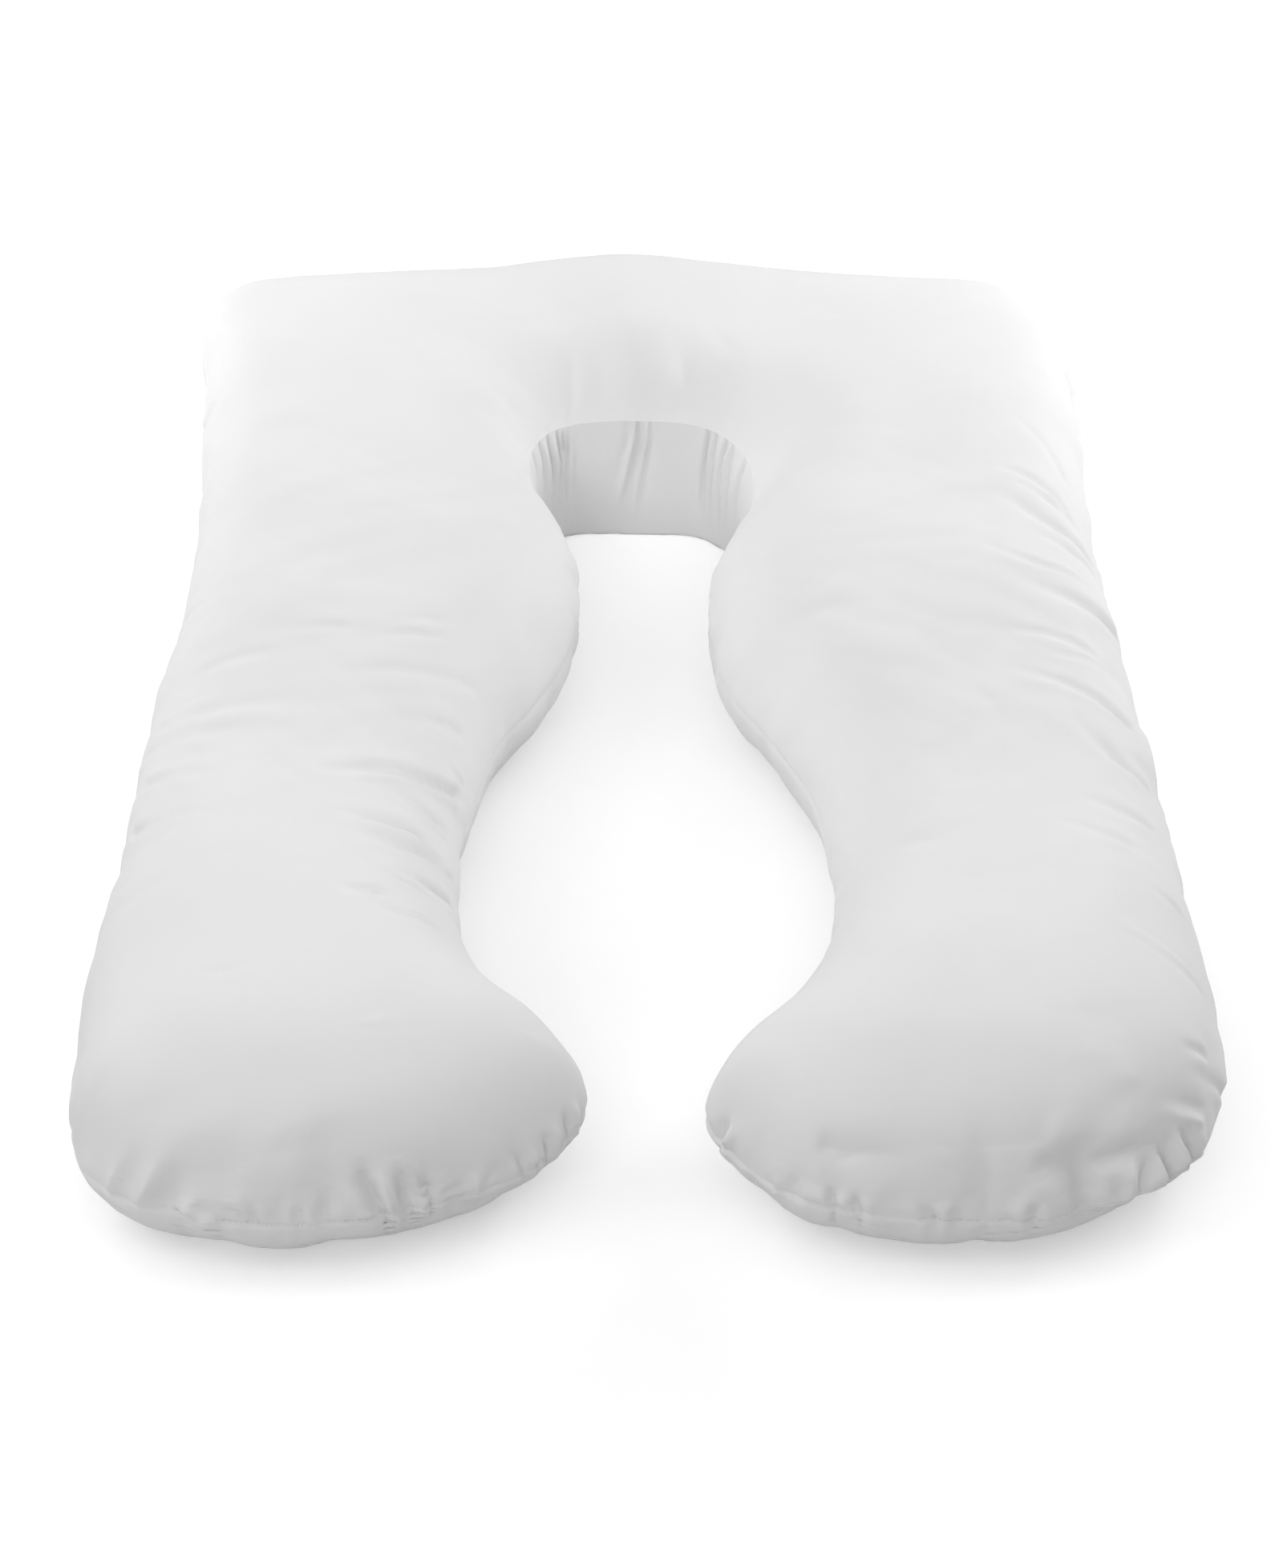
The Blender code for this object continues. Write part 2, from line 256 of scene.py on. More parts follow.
def body(along, across):
    """The upper and the lower surface, for every row number in along and share in across."""
    rows = through_rows(TABLE, along)
    plan = plan_of(rows, across)
    depth = through_rows(coarse_depth, along / along[-1] * COARSE_ROWS)
    angle = np.arccos(1 - 2 * across) / np.pi * COARSE_COLUMNS
    depth = np.clip(through_rows(depth.T.copy(), angle).T, 0, None)

    from_toe = np.minimum(along, along[-1] - along)[:, None]
    fuller = depth * (1 + FOOT_FULLNESS * (1 - smooth_step(from_toe / FOOT_SECTIONS)))
    seam = column(rows, "inner_seam") * (1 - across) + column(rows, "outer_seam") * across
    crown = column(rows, "crown")
    wall = 1 + (column(rows, "wall") - 1) * (1 - across)
    neck = neck_share(wall)
    rounding = ROUNDING + (NECK_ROUNDING - ROUNDING) * neck
    shoulder = SHOULDER + (NECK_SHOULDER - SHOULDER) * neck
    upper = seam + (crown - seam) * filled(fuller, rounding, shoulder)

    tucks = np.array(TUCKS)
    tuck = np.interp(along, tucks[:, 0], tucks[:, 1])[:, None] * (1 - across) ** 2
    tuck = tuck + np.interp(along, tucks[:, 0], tucks[:, 2])[:, None] * across**2
    sunk = filled(depth / wall, LOWER_ROUNDING, LOWER_SHOULDER - tuck)
    lower = np.maximum(seam - (seam + SINK) * sunk, 0)
    run = np.gradient(plan[:, 0], axis=0)
    inwards = np.stack([run[:, 1], -run[:, 0]], axis=-1) / np.linalg.norm(run, axis=1)[:, None]
    stand_out = column(rows, "foot") * (1 - lower / seam) * (1 - across) ** 2
    foot_plan = plan + inwards[:, None] * stand_out[..., None]
    return np.dstack([plan, upper]), np.dstack([foot_plan, lower])


# %% [markdown]
# ## Where the mesh is fine
# A wrinkle only shows if the mesh is finer than the wrinkle. Walking over a coarse copy of the
# body gives its real lengths over the hump, and those lengths are then weighted: the feet, where
# the tightest pleats are, and the strips beside the seam get the smallest quads, and the smooth
# bar gets larger ones. At the four corners of a grid its rows and its columns both run along the
# seam, which squeezes the quads there, so each point near a corner is moved step by step to the
# middle of its neighbours.

# %% Spacing the grid
ROWS, COLUMNS = 820, 120
Finer = namedtuple("Finer", "amount reach")
FINER_FOOT = Finer(0.8, 8)
FINER_TOE = Finer(3.0, 0.5)
FINER_SEAM = Finer(1.2, 0.2)
CORNER_REACH, CORNER_ROUNDS = 0.035, 30


def finer(zone, away):
    """How much finer the grid gets at this distance from a zone's edge."""
    return zone.amount * (1 - smooth_step(away / zone.reach))


def evenly(lengths, places, count):
    """The places that split a run of such lengths into count equal steps."""
    walked = np.append(0, np.cumsum(lengths))
    return np.interp(np.linspace(0, walked[-1], count + 1), walked, places)


def relax(surface, reach, rounds):
    """Even out the quads near the grid's four corners, and leave its rim where it is."""
    corners = surface[[0, 0, -1, -1], [0, -1, 0, -1]]
    away = np.linalg.norm(surface[:, :, None] - corners, axis=3).min(axis=2)
    share = (1 - smooth_step(away / reach))[1:-1, 1:-1, None]
    for _ in range(rounds):
        inside = surface[1:-1, 1:-1]
        beside = surface[:-2, 1:-1] + surface[2:, 1:-1] + surface[1:-1, :-2] + surface[1:-1, 2:]
        surface[1:-1, 1:-1] = inside + (beside / 4 - inside) * share
    return surface


coarse_upper, coarse_lower = body(coarse_along, coarse_across)
middle = slice(COARSE_COLUMNS // 4, -COARSE_COLUMNS // 4)
steps_along = np.linalg.norm(np.diff(coarse_upper[:, middle], axis=0), axis=2).mean(axis=1)
steps_across = np.linalg.norm(np.diff(coarse_upper, axis=1), axis=2).mean(axis=0)
from_toe = np.minimum(coarse_along, coarse_along[-1] - coarse_along)[:-1]
from_seam = np.minimum(coarse_across, 1 - coarse_across)[:-1]
near_foot = 1 + finer(FINER_FOOT, from_toe) + finer(FINER_TOE, from_toe)
near_seam = 1 + finer(FINER_SEAM, from_seam)
along = evenly(steps_along * near_foot, coarse_along, ROWS)
across = evenly(steps_across * near_seam, coarse_across, COLUMNS)
upper, lower = (relax(surface, CORNER_REACH, CORNER_ROUNDS) for surface in body(along, across))
box_low = coarse_lower.min(axis=(0, 1))[:2]
box_high = coarse_upper.max(axis=(0, 1))[:2]
for surface in (upper, lower):
    centred = surface[..., :2] - (box_low + box_high) / 2
    surface[..., :2] = centred * (np.array(HIGH - LOW)[:2] / (box_high - box_low))
print(f"the pillow is {steps_along.sum():.2f} m long round the U")
sides = [np.linalg.norm(np.diff(upper, axis=axis), axis=2) * 1000 for axis in (0, 1)]
print(f"a typical quad is {np.median(sides[0]):.1f} by {np.median(sides[1]):.1f} mm")

# %% [markdown]
# ## Letting the cotton settle
# Loose fibre fills a cover unevenly and the cotton over it is never quite tight, so it lies in
# broad soft waves. Blender's cloth solver makes them: a coarser copy of each panel is held at the
# seam and on the floor, given a little spare length in soft patches, and blown up gently from
# inside by the filling's pressure for a few frames. Gravity is off, since the filling carries the
# cotton, and a cap on how far a point may go keeps the pillow its size. The slack table says how
# much of that movement each part of the pillow keeps, because its legs are looser than its bar.

# %% Cloth
SKIP = 4
SETTLE_FRAMES = 20
SETTLE_CAP = 0.010
INNER_HOLD = 0.3
FLOOR_HOLD = 0.004
PRESSURE = 1.0
WEIGHT = 0.12
STIFFNESS, SHEAR, BENDING = 40, 10, 0.03
SPARE = 0.04
SPARE_MIDDLE, SPARE_SWING, SPARE_PATCH = 0.6, 0.4, 0.12
PATCH_WAVES, WAVE_COUNT = 6, 200
LEVELS = 100
Slack = namedtuple("Slack", "section share")
SLACKS = (
    Slack(0, 0.35),
    Slack(4, 0.35),
    Slack(7, 0.9),
    Slack(12, 1.2),
    Slack(16, 0.45),
    Slack(24, 0.2),
    Slack(28, 1.0),
    Slack(33, 0.8),
    Slack(37, 0.5),
    Slack(40, 0.3),
)
EASE = 0.17
slack = np.interp(along, *np.array(SLACKS).T)[:, None]
random = np.random.default_rng(7)


def waves(place):
    """Smooth random waves, one to a unit of place, between about -1 and 1."""
    inside = np.clip(place, 0, WAVE_COUNT - 1.001).ravel()
    return through_rows(random.uniform(-1, 1, WAVE_COUNT), inside).reshape(place.shape)


def patches(points, size):
    """Soft random patches of about this size: waves that cross in every direction, added up."""
    total = np.zeros(points.shape[:2])
    for _ in range(PATCH_WAVES):
        turn = random.uniform(0, math.tau)
        slant = points @ np.array([math.cos(turn), math.sin(turn), 0.5])
        total += waves((slant + 2) / size)
    return total / 2


def make_panel(name, surface, faces_up):
    """A mesh of quads over a surface given as rows by columns of points."""
    rows, columns = surface.shape[:2]
    corner = np.arange(rows * columns).reshape(rows, columns)
    loop = [corner[:-1, :-1], corner[:-1, 1:], corner[1:, 1:], corner[1:, :-1]]
    quads = np.stack(loop if faces_up else loop[::-1], axis=-1).reshape(-1, 4)
    mesh = bpy.data.meshes.new(name)
    mesh.from_pydata(surface.reshape(-1, 3).tolist(), [], quads.tolist())
    mesh.shade_smooth()
    piece = bpy.data.objects.new(name, mesh)
    bpy.context.scene.collection.objects.link(piece)
    return piece


def weights(piece, name, values):
    """A vertex group with these weights, rounded to a number of levels."""
    group = piece.vertex_groups.new(name=name)
    level = np.round(np.clip(values.ravel(), 0, 1) * LEVELS).astype(int)
    for step in np.unique(level):
        group.add(np.flatnonzero(level == step).tolist(), step / LEVELS, "REPLACE")
    return name


def settle(surface, faces_up, pins, spare):
    """Run the cloth solver on a copy of a panel, and give back how far each point moved."""
    piece = make_panel("settling", surface, faces_up)
    cloth = piece.modifiers.new("settle", "CLOTH")
    cloth.point_cache.frame_start, cloth.point_cache.frame_end = 1, SETTLE_FRAMES
    cotton = cloth.settings
    cotton.quality = 4
    cotton.mass = WEIGHT
    cotton.tension_stiffness = cotton.compression_stiffness = STIFFNESS
    cotton.shear_stiffness = SHEAR
    cotton.bending_stiffness = BENDING
    cotton.use_pressure = True
    cotton.uniform_pressure_force = PRESSURE
    cotton.effector_weights.gravity = 0
    cotton.vertex_group_mass = weights(piece, "pins", pins)
    cotton.vertex_group_shrink = weights(piece, "snug", 1 - spare)
    cotton.shrink_min = -SPARE
    cotton.shrink_max = 0
    cotton.pin_stiffness = 1
    cloth.collision_settings.use_collision = False
    for frame in range(1, SETTLE_FRAMES + 1):
        bpy.context.scene.frame_set(frame)
    settled = piece.evaluated_get(bpy.context.evaluated_depsgraph_get()).data
    places = np.empty(len(settled.vertices) * 3)
    settled.vertices.foreach_get("co", places)
    moved = places.reshape(surface.shape) - surface
    length = np.linalg.norm(moved, axis=2, keepdims=True)
    print(f"the panel moved {length.mean() * 1000:.1f} mm, {length.max() * 1000:.0f} mm at most")
    bpy.context.scene.frame_set(1)
    bpy.data.objects.remove(piece)
    return moved * SETTLE_CAP * np.tanh(length / SETTLE_CAP) / np.maximum(length, TINY)


def spread(coarse, rows, columns):
    """Values on the coarse grid read smoothly on the fine one."""
    down = through_rows(coarse, np.linspace(0, len(coarse) - 1, rows))
    places = np.linspace(0, coarse.shape[1] - 1, columns)
    return through_rows(down.swapaxes(0, 1).copy(), places).swapaxes(0, 1)


ease = EASE * slack[..., None]
coarse = upper[::SKIP, ::SKIP]
pins = np.full(coarse.shape[:2], INNER_HOLD)
pins[[0, -1]] = pins[:, [0, -1]] = 1
spare = SPARE_MIDDLE + SPARE_SWING * patches(coarse, SPARE_PATCH)
upper += ease * spread(settle(coarse, True, pins, spare), *upper.shape[:2])
coarse = lower[::SKIP, ::SKIP]
pins = np.maximum(pins, coarse[..., 2] < FLOOR_HOLD)
lower += ease * spread(settle(coarse, False, pins, spare), *lower.shape[:2])

# %% [markdown]
# ## Folds, one by one
# Where the cotton has too much length for its seam it buckles into creases that start at the seam
# and fade into the leg. The large ones are part of this pillow's looks, so they are laid one by
# one.
# A row gives where a fold starts (its root, mostly on the seam), where it ends (its tip), how far
# its middle swings to the left of that line, how wide the crease is and how deep, all in
# millimetres. A negative depth makes a pinched ridge. A crease with a ridge for a lip catches the
# light along one sharp line.

# %% The fold table
Fold = namedtuple("Fold", "name root tip bow width depth")
BELLY_FOLDS = (
    Fold("belly long", (-156, -231, 106), (-290, -268, 177), 13, 7.6, 9),
    Fold("belly long lip", (-158, -241, 108), (-290, -277, 177), 13, 5.5, -4),
    Fold("belly top", (-151, -167, 123), (-215, -196, 172), -6, 7.2, 6.2),
    Fold("belly short", (-153, -215, 101), (-172, -214, 142), 4, 3.6, 4.7),
    Fold("belly slant", (-162, -291, 111), (-216, -283, 170), 14, 6, 7),
    Fold("belly slant lip", (-165, -300, 113), (-216, -291, 170), 14, 5, -3),
    Fold("belly broad", (-175, -346, 145), (-275, -334, 178), 4, 8.4, 9.5),
    Fold("belly broad lip", (-175, -355, 145), (-275, -343, 178), 4, 6, -3.5),
    Fold("belly deep", (-164, -350, 125), (-252, -364, 178), 18, 7.6, 9),
    Fold("belly deep lip", (-166, -360, 128), (-252, -373, 178), 18, 5.5, -3.5),
    Fold("belly mid", (-172, -432, 150), (-238, -409, 180), 6, 4.8, 6.2),
    Fold("belly pinch", (-157, -409, 115), (-205, -409, 171), 4, 7.2, 12.4),
    Fold("belly seam", (-158, -348, 100), (-202, -389, 167), 4, 4.8, 6.2),
    Fold("belly low", (-202, -459, 177), (-252, -459, 185), 2, 6, 6.2),
    Fold("belly lowest", (-166, -474, 158), (-222, -486, 184), 6, 4.8, 4.7),
    Fold("belly last", (-157, -486, 155), (-190, -499, 178), -4, 3.6, 4.7),
)
SHOULDER_FOLDS = (
    Fold("shoulder high", (422, 153, 149), (348, 196, 185), 5, 6, 6),
    Fold("shoulder deep", (438, 100, 125), (328, 168, 187), 8, 9, 13),
    Fold("shoulder under", (432, 78, 138), (360, 97, 183), 2, 5, 6),
    Fold("shoulder thin", (408, 26, 164), (310, 70, 188), 12, 5, 5),
    Fold("shoulder tuck", (444, -4, 118), (340, 8, 185), 11, 8.5, 8.5),
    Fold("arm fine", (417, -81, 161), (310, -68, 184), -4, 5, 4),
    Fold("arm finer", (421, -94, 158), (350, -98, 182), 3, 4, 3),
    Fold("arm long", (440, -178, 140), (310, -125, 181), -13, 6, 6),
    Fold("arm deep", (450, -256, 128), (372, -168, 177), 12, 8, 9),
    Fold("elbow", (446, -322, 138), (358, -303, 178), 2, 8, 6),
    Fold("elbow low", (420, -376, 165), (340, -338, 179), 2, 7, 5),
    Fold("shoulder top", (415, 163, 156), (320, 210, 187), -12, 6, 5),
    Fold("shin line", (458, -530, 125), (358, -480, 187), 6, 5, -3),
    Fold("shin small", (452, -440, 136), (413, -434, 173), -5, 5, 4),
    Fold("collar", (416, 223, 156), (348, 336, 182), -10, 7, 3),
)
SIDE_FOLDS = (
    Fold("left shoulder arch", (-433, 20, 120), (-350, 20, 183), -14, 8, 4),
    Fold("side arch a", (-405, -115, 164), (-300, -98, 182), 4, 8, 3),
    Fold("side arch b", (-437, -164, 132), (-300, -160, 179), -15, 8, 4),
    Fold("side arch c", (-428, -156, 144), (-384, -143, 173), -4, 6, 3),
    Fold("side arch d", (-445, -180, 112), (-325, -195, 177), -20, 8, 4),
    Fold("side crease", (-440, -243, 128), (-358, -267, 176), -9, 6, 6),
    Fold("side crease low", (-444, -304, 122), (-358, -335, 177), -13, 7, 6),
    Fold("side dent", (-425, -360, 154), (-375, -351, 177), 1, 6, 4),
    Fold("side soft", (-437, -406, 143), (-368, -390, 181), -6, 7, 3),
    Fold("side soft low", (-440, -440, 142), (-365, -435, 184), -3, 7, 3),
    Fold("arch long", (-142, -107, 137), (-295, -133, 180), 3, 8, 3),
    Fold("arch fine", (-172, -74, 173), (-248, -87, 182), -3, 5, 3),
    Fold("arch short", (-167, -52, 175), (-222, -60, 183), -3, 5, 2),
    Fold("arch middle", (-258, -72, 183), (-335, -78, 182), -6, 6, 2),
    Fold("knee dent", (309, -180, 179), (268, -98, 183), 1, 16, 2.2),
    Fold("knee fold", (200, -369, 162), (270, -384, 180), 7, 13, 2.4),
    Fold("knee wave", (168, -325, 95), (216, -370, 170), -14, 12, 3),
    Fold("knee soft", (168, -257, 122), (205, -264, 165), 7, 12, 2.5),
    Fold("shoulder wave", (139, -38, 170), (218, -29, 185), 3, 15, 1.6),
)
FOOT_FOLDS = (
    Fold("left pleat valley", (-197, -710, 55), (-214, -704, 116), 4, 6.5, 19),
    Fold("left pleat ridge", (-190, -708, 55), (-199, -703, 108), 3, 6.5, -15),
    Fold("left pleat dark", (-177, -704, 55), (-181, -704, 82), 0, 8.5, 14.3),
    Fold("left pleat curl", (-165, -700, 63), (-189, -698, 115), -5, 4.5, -8.4),
    Fold("left pleat hollow", (-163, -699, 55), (-172, -699, 91), -1, 6, 10.4),
    Fold("left pleat bump", (-127, -683, 55), (-133, -684, 85), -1, 8, -7.8),
    Fold("left stitch gape", (-151, -694, 55), (-130, -685, 55), 0, 2.2, 5.2),
    Fold("left outer roll", (-393, -697, 55), (-360, -694, 126), -1, 10, -8.4),
    Fold("left outer ridge", (-417, -683, 55), (-396, -685, 114), -1, 8, -5.9),
    Fold("left side hollow", (-373, -704, 55), (-347, -703, 113), -1, 11, 6.5),
    Fold("left tuck valley", (-344, -712, 55), (-368, -705, 66), 6, 6, 12.3),
    Fold("left tuck ridge", (-331, -715, 55), (-359, -708, 67), 6, 6, -10.4),
    Fold("left tuck end", (-302, -719, 55), (-328, -715, 64), -7, 6, 7.8),
    Fold("left small a", (-295, -719, 65), (-297, -717, 87), 3, 5, 5.9),
    Fold("left small b", (-270, -720, 65), (-267, -718, 84), 1, 5.5, -5.2),
    Fold("left small c", (-240, -718, 55), (-240, -715, 91), 0, 6.5, 5.9),
    Fold("left inner a", (-91, -660, 54), (-101, -665, 86), -1, 4.5, 5.5),
    Fold("left inner b", (-83, -653, 54), (-89, -656, 82), 0, 3.5, -5.5),
    Fold("left inner c", (-74, -644, 55), (-81, -647, 86), -2, 4, 5.9),
    Fold("left inner d", (-66, -634, 56), (-73, -638, 90), -1, 4, -5.9),
    Fold("left inner e", (-59, -625, 57), (-65, -627, 94), -2, 4.5, 6.2),
    Fold("left inner f", (-51, -614, 59), (-59, -617, 98), 0, 4.5, -5.5),
    Fold("left top arc", (-308, -704, 127), (-156, -667, 147), 6, 18, -0.8),
    Fold("left top arc low", (-289, -709, 119), (-143, -668, 138), 1, 18, 0.9),
    Fold("left top far", (-223, -629, 181), (-170, -615, 178), 0, 5, -1),
    Fold("left nick", (-410, -566, 166), (-398, -576, 172), 2, 2.5, 1.3),
    Fold("left crease far", (-348, -574, 185), (-294, -548, 188), -6, 5, 1.6),
    Fold("right heel ridge", (64, -634, 58), (74, -641, 91), -2, 4, -8.3),
    Fold("right heel dark", (60, -628, 59), (71, -634, 101), 0, 6, 6),
    Fold("right inner ridge", (105, -677, 54), (109, -680, 68), 0, 4.5, -7.5),
    Fold("right inner dark", (118, -687, 54), (124, -688, 87), 2, 10, 6.7),
    Fold("right notch a", (150, -700, 52), (145, -697, 80), 0, 5, 9.7),
    Fold("right notch b", (171, -706, 52), (164, -703, 80), 0, 5, 8.3),
    Fold("right spot", (228, -715, 55), (218, -713, 77), 1, 5.5, 9),
    Fold("right spot ridge", (235, -716, 55), (231, -714, 77), -2, 6.5, -5.5),
    Fold("right crease", (303, -710, 55), (304, -709, 81), 0, 6, 9),
    Fold("right crease ridge", (293, -712, 55), (294, -710, 86), 0, 7, -5.5),
    Fold("right crease lip", (316, -708, 55), (308, -707, 85), 2, 7.5, -4),
    Fold("right broad valley", (350, -698, 55), (339, -687, 127), 7, 18, 20),
    Fold("right broad ridge", (377, -687, 55), (381, -681, 101), -1, 9, -9.7),
    Fold("right corner valley", (391, -681, 55), (396, -675, 88), 0, 9, 10.5),
    Fold("right corner fin b", (410, -668, 55), (402, -670, 92), 0, 5, -7.5),
    Fold("right corner fin c", (429, -653, 55), (411, -659, 108), 0, 5, -7.5),
    Fold("right corner fin d", (444, -636, 56), (435, -643, 85), -2, 4, -3),
    Fold("right corner dark a", (418, -663, 55), (406, -666, 98), 2, 7.5, 15),
    Fold("right corner dark b", (436, -645, 55), (422, -653, 98), 1, 7, 12),
    Fold("right corner lip", (443, -634, 85), (395, -663, 126), 0, 7, -6),
    Fold("right corner under", (446, -628, 90), (392, -661, 132), -2, 8, 3),
    Fold("right side crease", (451, -599, 120), (419, -619, 150), -3, 5, 4.4),
    Fold("right side crease low", (467, -582, 77), (423, -629, 137), -1, 7, 4.4),
    Fold("right outer swell", (388, -655, 144), (344, -654, 163), 0, 15, -3.4),
    Fold("right top fine", (143, -695, 93), (195, -701, 120), 3, 5, 0.8),
    Fold("right top fine b", (241, -707, 117), (201, -699, 127), -4, 6, 0.8),
    Fold("left small d", (-255, -719, 65), (-259, -717, 88), -2, 5, -4.6),
    Fold("left top swale", (-400, -677, 127), (-255, -677, 162), 5, 22, 1.4),
    Fold("left top band", (-401, -686, 104), (-246, -682, 157), 1, 16, -0.9),
    Fold("right broad roof", (298, -705, 109), (373, -686, 92), -5, 20, 9),
    Fold("right corner roof", (345, -692, 98), (430, -648, 86), 0, 14, 9),
    Fold("right top hollow", (329, -605, 183), (402, -600, 168), -8, 16, 1.6),
    Fold("right top ridge", (331, -642, 173), (403, -631, 154), -6, 14, -1.6),
    Fold("right front swale", (129, -686, 109), (237, -702, 128), -9, 16, 3.7),
)
BAR_FOLDS = (
    Fold("bar left line", (-81, 397, 128), (-74, 515, 174), -2, 10, 2.2),
    Fold("bar left sweep", (-125, 370, 145), (-202, 437, 168), -12, 14, 2.2),
    Fold("bar right sweep", (136, 312, 158), (225, 300, 183), 2, 12, 1.6),
    Fold("bar left dash", (-257, 405, 178), (-190, 396, 173), 6, 12, 1.2),
    Fold("bar centre line", (49, 420, 150), (26, 535, 183), 2, 12, 1.4),
    Fold("bar right line", (94, 462, 164), (41, 556, 181), -2, 12, 1.4),
    Fold("bar back line", (220, 536, 166), (150, 597, 168), 2, 12, 1.2),
    Fold("left corner tuck", (-452, 412, 105), (-408, 449, 164), -12, 9, 6),
    Fold("right corner tuck", (452, 425, 104), (413, 555, 151), -6, 10, 7),
)
WALL_FOLDS = (
    Fold("wall left a", (-106, 352, 112), (-107, 322, 60), -4, 3, 6),
    Fold("wall left b", (-103, 359, 116), (-101, 337, 50), 3, 3, 7.5),
    Fold("wall left c", (-97, 370, 118), (-94, 350, 35), 5, 3, 9),
    Fold("wall left d", (-89, 379, 118), (-89, 356, 30), 4, 3, 10.5),
    Fold("wall left e", (-83, 383, 118), (-86, 360, 20), 3, 3, 7.5),
    Fold("wall left f", (-73, 389, 118), (-83, 362, 18), -1, 3, 7.5),
    Fold("wall middle a", (-5, 398, 116), (-30, 376, 24), 3, 4, -7.5),
    Fold("wall middle b", (10, 397, 112), (-9, 375, 14), -2, 4, -6),
    Fold("wall right a", (71, 384, 116), (64, 362, 12), -1, 3, 9),
    Fold("wall right b", (77, 380, 116), (69, 358, 12), 2, 3, 6),
    Fold("wall right c", (87, 370, 116), (80, 344, 14), 1, 3, 9),
    Fold("wall right d", (93, 360, 116), (85, 338, 14), 4, 3, 7.5),
    Fold("wall right e", (104, 335, 100), (92, 323, 20), 2, 4, 6),
)
UPPER_FOLDS = BELLY_FOLDS + SHOULDER_FOLDS + SIDE_FOLDS + FOOT_FOLDS + BAR_FOLDS
print(len(UPPER_FOLDS), "folds on the upper panel,", len(WALL_FOLDS), "on the neck wall")

# %% [markdown]
# ## How far from the seam
# Folds, gathers and stitches all start at the seam, so each point of both panels looks up its
# nearest seam point once: how far round the pillow that point is, and how far away. The seam is
# one closed ring, so the random waves that run along it are read from a ring of numbers too, and
# meet themselves again without a step.

# %% Nearest seam point
def border(grid):
    """The rim of a grid, once round: inner seam, last row, outer seam, first row."""
    return np.concatenate([grid[:, 0], grid[-1, 1:-1], grid[::-1, -1], grid[0, -2:0:-1]])


seam_points = border(upper)
seam_steps = np.linalg.norm(np.roll(seam_points, -1, axis=0) - seam_points, axis=1)
SEAM_LENGTH = seam_steps.sum()
seam_run = np.append(0, seam_steps.cumsum()[:-1])
tree = KDTree(len(seam_points))
for i, point in enumerate(seam_points):
    tree.insert(point, i)
tree.balance()


def to_seam(surface):
    """For each point of a surface, the nearest seam point's number and how far away it is."""
    found = [tree.find(point)[1:] for point in surface.reshape(-1, 3).tolist()]
    number, gap = np.array(found).T
    return number.astype(int).reshape(surface.shape[:2]), gap.reshape(surface.shape[:2])


def ring(wave):
    """Random heights for waves of about this length, once round the seam."""
    return random.uniform(-1, 1, round(SEAM_LENGTH / wave))


def read_ring(heights, run):
    """The heights of a ring read smoothly at places along the seam."""
    looped = np.concatenate([heights[-1:], heights, heights[:3]])
    places = 1 + (run.ravel() / SEAM_LENGTH % 1) * len(heights)
    return through_rows(looped, places).reshape(run.shape)


upper_near, upper_gap = to_seam(upper)
lower_near, lower_gap = to_seam(lower)
walls = np.interp(along, np.arange(len(TABLE)), TABLE[:, COLUMN["wall"]])
seam_neck = border(neck_share(walls)[:, None] * (1 - across))
print(f"the seam is {SEAM_LENGTH:.2f} m long")

# %% [markdown]
# ## Pressing a fold in
# A fold's line is laid on the surface between its root and its tip, bowed to one side. Each point
# near the line then moves in or out by the crease's own section: a narrow trough with a soft ridge
# on both sides. The crease keeps its depth near the root, then gets wider and shallower towards
# the tip. A fold that starts at the seam goes right into it, and the stitches let it keep about a
# third of its depth.

# %% Pressing a fold in
FOLD_POINTS, FOLD_MARGIN, FOLD_SMOOTHINGS = 17, 0.02, 3
FOLD_START, FOLD_FADES = 0.014, 0.25
ROOT_WIDTH, WIDENING = 0.7, 0.7
SEAM_GIVE, SEAM_REACH = 0.35, 0.020
RIDGE_HEIGHT, RIDGE_WIDTH = 0.5, 2.4
TROUGH_SHARPNESS = 1.6
CREASE_HEIGHT = 0.73
CREASE_REACH = 8


def unit(vectors):
    """The same directions, each one long."""
    return vectors / np.maximum(np.linalg.norm(vectors, axis=-1, keepdims=True), TINY)


def outward(surface, faces_up):
    """The direction straight out of a surface at each of its points."""
    facing = unit(np.cross(np.gradient(surface, axis=0), np.gradient(surface, axis=1)))
    facing[[0, 0, -1, -1], [0, -1, 0, -1]] = facing[[0, 0, -1, -1], [1, -2, 1, -2]]
    return facing if faces_up else -facing


def fold_path(fold, points, facing, near, gap):
    """The fold's line laid on the surface, root to tip, and whether it starts at the seam."""
    root, tip = np.array(fold.root) / 1000, np.array(fold.tip) / 1000
    start = np.linalg.norm(points - root, axis=1).argmin()
    at_seam = gap[start] < SEAM_REACH
    if at_seam:
        root = seam_points[near[start]]
    share = np.linspace(0, 1, FOLD_POINTS)[:, None]
    halfway = np.linalg.norm(points - (root + tip) / 2, axis=1).argmin()
    left = unit(np.cross(facing[halfway], tip - root))
    line = root + (tip - root) * share + left * (fold.bow / 1000) * 4 * share * (1 - share)
    reach = np.linalg.norm(tip - root) + FOLD_MARGIN
    close = np.flatnonzero(np.linalg.norm(points - points[halfway], axis=1) < reach)
    gaps = np.linalg.norm(points[close][None] - line[:, None], axis=2)
    path = points[close[gaps.argmin(axis=1)]]
    for _ in range(FOLD_SMOOTHINGS):
        path[1:-1] = (path[:-2] + 2 * path[1:-1] + path[2:]) / 4
    return path, at_seam


